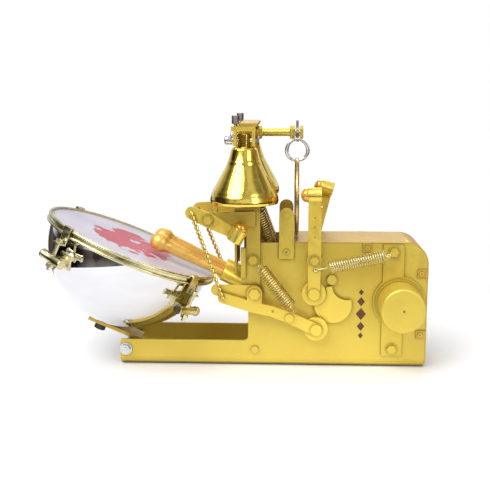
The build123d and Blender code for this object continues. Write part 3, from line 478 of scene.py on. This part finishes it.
hoop_radius = disc_of("drum_hoop")[2]
inner_edge = head_radius + 0.4 * MM
hoop_line = [(inner_edge, -6 * MM), (inner_edge + 1.4 * MM, -6 * MM)]
hoop_line += list(arc((hoop_radius - 1.9 * MM, -4.1 * MM), 1.9 * MM, -90, 90, 10))
hoop_line += [(inner_edge + 1.6 * MM, -1.9 * MM), (inner_edge + 1.6 * MM, 1.1 * MM)]
hoop_line += list(arc((hoop_radius - 1.9 * MM, 3.0 * MM), 1.9 * MM, -90, 90, 10))
hoop_line += [(inner_edge, 5 * MM), (inner_edge, -6 * MM)]
stand_for(lathe("drum_hoop_rolled", hoop_line, 192, drum_place), "frame", "drum_hoop")


# ---------------------------------------------------------------- mallets
def make_mallet(side):
    node = f"mallet_{side}"
    ball_end, foot = long_ends(node)
    axis = (ball_end - foot).normalized()
    length = (ball_end - foot).length
    ball = extent(node).y / 2
    middle_of_ball = length - 13.4 * MM
    knots = [(5.4, 30), (5.9, 38), (6.3, 52), (6.7, 68), (7.3, 82)]
    stick = [(r * MM, z * MM) for r, z in knots if z * MM < middle_of_ball - 15 * MM]
    stick += [(8.0 * MM, middle_of_ball - 11.5 * MM)]
    head = [(ball * math.cos(math.radians(a)), middle_of_ball + 13.2 * MM * math.sin(math.radians(a)))
            for a in range(-38, 90, 6)]
    line = [(0.0, 0.0), (5.4 * MM, 0.0)] + [tuple(p) for p in smooth_profile(stick, 4)] + head
    line.append((0.0, length))
    return lathe(f"{node}_turned", line, 64, pointing(foot, axis), 50)


for side in SIDES:
    stand_for(make_mallet(side), f"drum_lever_{side}", f"mallet_{side}")


# ---------------------------------------------------------------- springs
def coil_points(start, end, radius, turns, per_turn=18):
    axis = (end - start).normalized()
    across = Vector((0, 1, 0)).cross(axis).normalized()
    beside = axis.cross(across)
    steps = int(turns * per_turn)
    for step in range(steps + 1):
        angle = 2 * math.pi * step / per_turn
        point = start + (end - start) * step / steps
        yield point + radius * (math.cos(angle) * across + math.sin(angle) * beside)


def hook_points(tip, root, radius):
    """An open eye at tip, then straight back to root."""
    axis = (root - tip).normalized()
    across = axis.orthogonal().normalized()
    eye = tip + axis * radius
    for step in range(-9, 8):
        angle = math.radians(20 * step)
        yield eye + radius * (-math.cos(angle) * axis + math.sin(angle) * across)
    yield eye + axis * radius * 1.6
    yield eye.lerp(root, 0.75)


def make_spring(node, wire_radius, pitch, hook_top, hook_foot, extra, outward):
    """An open-wound helix with an eye at each end.

    extra widens the coil, and outward moves it off the wall.
    """
    start, end = long_ends(node)
    axis = (end - start).normalized()
    length = (end - start).length
    outer = extent(node).y / 2
    radius = outer - wire_radius + extra
    aside = Vector((0, math.copysign(outward, start.y), 0))
    body_start = start + axis * hook_top + aside
    body_end = end - axis * hook_foot + aside
    turns = round((length - hook_top - hook_foot) / pitch)
    eye = 1.9 * MM
    path = list(hook_points(start, body_start, eye))
    path += list(coil_points(body_start, body_end, radius, turns))
    path += list(reversed(list(hook_points(end, body_end, eye))))
    return wire(f"{node}_wound", path, wire_radius, 8)


SPRINGS = (
    ("gong_spring", "gong_hammer", 0.72, 2.9, 7, 20, 2.0, 0.6),
    ("drum_spring", "drum_lever", 0.85, 3.1, 5, 10, 1.9, 1.9),
    ("mallet_spring", "drum_lever", 1.20, 2.9, 5, 6, 0.0, 0.0),
)
for name, body, wire_mm, pitch_mm, top_mm, foot_mm, extra_mm, outward_mm in SPRINGS:
    for side in SIDES:
        node = f"{name}_{side}"
        spring = make_spring(node, wire_mm * MM, pitch_mm * MM, top_mm * MM, foot_mm * MM,
                             extra_mm * MM, outward_mm * MM)
        top, foot = long_ends(node)
        paint(spring, materials[slot_of[node]])
        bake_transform(spring)
        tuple(top)
        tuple(foot)
        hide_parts(node)


# ---------------------------------------------------------------- chains
def make_chain(side):
    """Twisted wire chain: two strands wound round each other between two end eyes."""
    node = f"hammer_chain_{side}"
    cloud = points_of(node)
    foot = Vector(cloud[cloud[:, 2] < cloud[:, 2].min() + 5 * MM].mean(axis=0))
    y = foot.y
    pin = Vector(joints[f"chain_{side}_turn"]["pos_m"])
    top = Vector((pin.x, y, pin.z))
    low = Vector(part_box(node)[0])
    foot = Vector((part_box(node)[1][0] - 2.4 * MM, y, low.z + 2.4 * MM))
    axis = (foot - top).normalized()
    length = (foot - top).length
    strand = 1.3 * MM
    parts = []
    turns = round(length / (13 * MM))
    for phase in (0.0, math.pi):
        path = []
        steps = turns * 16
        across = Vector((0, 1, 0)).cross(axis).normalized()
        for step in range(steps + 1):
            angle = 2 * math.pi * turns * step / steps + phase
            swell = 1.05 + 0.15 * math.cos(2 * angle)
            offset = across * math.cos(angle) * swell + Vector((0, 1, 0)) * math.sin(angle) * 0.85
            path.append(top + (foot - top) * step / steps + offset * strand)
        parts.append(wire("strand", path, strand, 10))
    for eye in (top, foot):
        ring = []
        for step in range(24):
            angle = 2 * math.pi * step / 24
            ring.append(eye + 1.55 * MM * (Vector((math.cos(angle), 0, math.sin(angle)))))
        parts.append(wire("eye", ring, 0.85 * MM, 8, closed=True))
    pin_end = Vector((top.x, math.copysign(abs(pin.y) - 1 * MM, pin.y), top.z))
    parts.append(wire("pin", [top, top.lerp(pin_end, 0.5), pin_end], 1.3 * MM, 12))
    return join(f"{node}_twisted", parts)


for side in SIDES:
    stand_for(make_chain(side), f"chain_{side}", f"hammer_chain_{side}")


# ---------------------------------------------------------------- gong
def make_gong():
    """Flat plate with a rolled rim and faint hammered rings."""
    centre = middle("gong")
    radius = extent("gong").z / 2
    half = extent("gong").x / 2
    face = []
    for step in range(0, 41):
        share = step / 40
        ripple = 0.12 * MM * math.sin(share * 40) * (1 - share)
        face.append((radius * share, half - 0.25 * MM + ripple))
    face[-1] = (radius - 1.0 * MM, half)
    rim = list(arc((radius - half, 0), half, 70, -70, 10))
    back = [(r, -z) for r, z in reversed(face)]
    return lathe("gong_spun", face + rim + back, 128, pointing(centre, Vector((1, 0, 0))), 60)


stand_for(make_gong(), "gong", "gong")

# ---------------------------------------------------------------- carried-over CAD nodes
for name, node in nodes.items():
    material = materials.get(slot_of[name])
    if material is not None:
        paint(node, material)


def amber_tip(node, tip, axis, depth):
    """The moulded dome takes up the last depth of the head, measured from its tip."""
    mesh = nodes[node].data
    mesh.materials.append(amber.material)
    for face in mesh.polygons:
        if (face.center - tip).dot(axis) < depth:
            face.material_index = 1


for side in SIDES:
    low_x = Vector(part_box(f"gong_head_{side}")[0])
    amber_tip(f"gong_head_{side}", low_x, Vector((1, 0, 0)), 8.7 * MM)
    top, foot = long_ends(f"bell_head_{side}")
    amber_tip(f"bell_head_{side}", top, (foot - top).normalized(), 7.7 * MM)


def make_ornament():
    """A plain strip of diamonds printed on the front wall, between the cam and the motor."""
    cam, motor = middle("cams"), middle("motor_housing")
    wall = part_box("chassis")[0][1]
    across, centre_z = cam.x + 0.43 * (motor.x - cam.x), cam.z - 13 * MM
    vertices, faces = [], []
    for step, half in ((-28, 4), (-16, 6), (0, 8), (16, 6), (28, 4)):
        middle_z = centre_z + step * MM
        wide, tall = 0.8 * half * MM, half * MM
        corners = ((-wide, 0), (0, -tall), (wide, 0), (0, tall))
        first = len(vertices)
        for depth in (-0.12 * MM, 0.05 * MM):
            vertices += [(across + x, wall + depth, middle_z + z) for x, z in corners]
        faces.append((first, first + 1, first + 2, first + 3))
        faces.append((first + 7, first + 6, first + 5, first + 4))
        for corner in range(4):
            after = (corner + 1) % 4
            faces.append((first + corner, first + corner + 4, first + after + 4, first + after))
    return new_object("ornament", vertices, faces, smooth=False)


ornament = paint(make_ornament(), ink.material)
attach(ornament, "frame")

BEVELLED = {
    "chassis": 0.5, "top_cover": 0.35, "motor_strap": 0.4, "posts": 0.5, "cross_plate": 0.4,
    "bell_gantry": 0.6, "yokes": 0.4, "gong_stops": 0.5, "hammer_arms": 0.5, "hex_bolts": 0.35,
    "plated_bolts": 0.35, "cams": 0.4, "cradle_bar": 0.5, "drum_claws": 0.35, "drum_lugs": 0.4,
}
for side in SIDES:
    for name in ("gong_lever", "drum_lever", "bell_lever", "mallet_holder"):
        BEVELLED[f"{name}_{side}"] = 0.5


def soften(node, width):
    """Rounded edges, as cast, pressed and powder-coated parts have."""
    weld = node.modifiers.new("weld", "WELD")
    weld.merge_threshold = 0.005 * MM
    bevel = node.modifiers.new("edges", "BEVEL")
    bevel.width = width * MM
    bevel.segments = 2
    bevel.limit_method = "ANGLE"
    bevel.angle_limit = math.radians(35)
    bevel.use_clamp_overlap = True
    bevel.harden_normals = True


for name, width in BEVELLED.items():
    soften(nodes[name], width)

# ---------------------------------------------------------------- stage, light and camera
low, high = (Vector(corner) for corner in cad_box)
size = high - low
reach = 0.56
around = [math.radians(360 * step / 96) for step in range(96)]
floor = new_object("floor", [((low.x + high.x) / 2 + reach * math.cos(a), reach * math.sin(a), low.z)
                             for a in around], [tuple(range(96))], smooth=False)
pale = Shader("pale_floor", (0.86, 0.86, 0.86), 0.0, 0.6)
pale.link(pale.ramp(pale.noise(3.0), (0.3, 0.85), (0.7, 0.87)), "Base Color")
paint(floor, pale.material)


def softbox(name, position, target, width, height, power, colour=(1, 1, 1)):
    lamp = bpy.data.lights.new(name, "AREA")
    lamp.shape = "RECTANGLE"
    lamp.size = width
    lamp.size_y = height
    lamp.energy = power
    lamp.color = colour
    holder = bpy.data.objects.new(name, lamp)
    holder.matrix_world = pointing(Vector(position), Vector(position) - Vector(target))
    bpy.context.scene.collection.objects.link(holder)


heart = Vector(((low.x + high.x) / 2, (low.y + high.y) / 2, size.z * 0.5))
softbox("key", heart + Vector((-0.7, -1.1, 1.1)), heart, 0.8, 0.6, 5)
softbox("fill", heart + Vector((0.9, -1.1, 0.5)), heart, 0.5, 0.9, 5)
softbox("back", heart + Vector((0.2, 1.3, 0.9)), heart, 1.0, 0.5, 4)
sky = bpy.data.lights.new("sky", "SUN")
sky.energy = 2.3
sky.angle = math.radians(50)
sky_holder = bpy.data.objects.new("sky", sky)
sky_holder.matrix_world = pointing(heart + Vector((0, 0, 2)), Vector((-0.45, -0.50, 0.80)))
bpy.context.scene.collection.objects.link(sky_holder)


def make_world():
    """White behind the object; what mirrors see is a bright room with a dark band below the horizon."""
    world = bpy.data.worlds.new("studio")
    bpy.context.scene.world = world
    world.use_nodes = True
    tree = world.node_tree
    nodes = tree.nodes
    room = nodes["Background"]
    room.inputs["Strength"].default_value = 1.0
    direction = nodes.new("ShaderNodeTexCoord").outputs["Generated"]
    split = nodes.new("ShaderNodeSeparateXYZ")
    tree.links.new(direction, split.inputs["Vector"])

    def ramp(output, low_value, high_value, *stops):
        scaled = nodes.new("ShaderNodeMapRange")
        scaled.inputs["From Min"].default_value = low_value
        scaled.inputs["From Max"].default_value = high_value
        node = nodes.new("ShaderNodeValToRGB")
        tree.links.new(output, scaled.inputs["Value"])
        tree.links.new(scaled.outputs["Result"], node.inputs["Fac"])
        elements = node.color_ramp.elements
        while len(elements) < len(stops):
            elements.new(0.5)
        for element, (position, colour) in zip(elements, stops):
            element.position = position
            element.color = (*colour, 1)
        return node.outputs["Color"]

    def multiply(first, second):
        node = nodes.new("ShaderNodeMix")
        node.data_type = "RGBA"
        node.blend_type = "MULTIPLY"
        node.inputs[0].default_value = 1.0
        tree.links.new(first, node.inputs[6])
        tree.links.new(second, node.inputs[7])
        return node.outputs[2]

    by_height = ramp(split.outputs["Z"], -1, 1, (0.30, (0.30, 0.28, 0.27)), (0.42, (0.09, 0.065, 0.055)),
                     (0.49, (0.13, 0.10, 0.09)), (0.505, (0.92, 0.93, 0.98)), (0.66, (0.80, 0.82, 0.88)),
                     (0.80, (0.45, 0.45, 0.47)), (0.95, (1.0, 1.0, 1.0)))
    by_side = ramp(split.outputs["X"], -1, 1, (0.04, (0.05, 0.04, 0.03)), (0.13, (1, 1, 1)),
                   (0.90, (1, 1, 1)), (0.97, (0.45, 0.25, 0.10)))
    patches = nodes.new("ShaderNodeTexNoise")
    patches.inputs["Scale"].default_value = 3.2
    patches.inputs["Detail"].default_value = 1.0
    tree.links.new(direction, patches.inputs["Vector"])
    by_patch = ramp(patches.outputs["Fac"], 0, 1, (0.40, (0.42, 0.40, 0.38)), (0.50, (1, 1, 1)))
    tree.links.new(multiply(multiply(by_height, by_side), by_patch), room.inputs["Color"])
    plain = nodes.new("ShaderNodeBackground")
    plain.inputs["Color"].default_value = (1, 1, 1, 1)
    plain.inputs["Strength"].default_value = 1.0
    path = nodes.new("ShaderNodeLightPath")
    choose = nodes.new("ShaderNodeMixShader")
    tree.links.new(path.outputs["Is Camera Ray"], choose.inputs["Fac"])
    tree.links.new(room.outputs["Background"], choose.inputs[1])
    tree.links.new(plain.outputs["Background"], choose.inputs[2])
    tree.links.new(choose.outputs["Shader"], nodes["World Output"].inputs["Surface"])


make_world()

AZIMUTH, ELEVATION, DISTANCE = math.radians(2.5), math.radians(10.0), 1.1
aim = Vector((0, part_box("chassis")[0][1], low.z + 0.157))
away = Vector((math.sin(AZIMUTH) * math.cos(ELEVATION), -math.cos(AZIMUTH) * math.cos(ELEVATION),
               math.sin(ELEVATION)))
lens = bpy.data.cameras.new("camera")
lens.lens = 64.7
lens.sensor_width = 36.0
lens.clip_start = 0.05
eye = bpy.data.objects.new("camera", lens)
eye.matrix_world = pointing(aim + away * DISTANCE, away)
bpy.context.scene.collection.objects.link(eye)
bpy.context.scene.camera = eye
bpy.context.scene.view_settings.view_transform = "Standard"
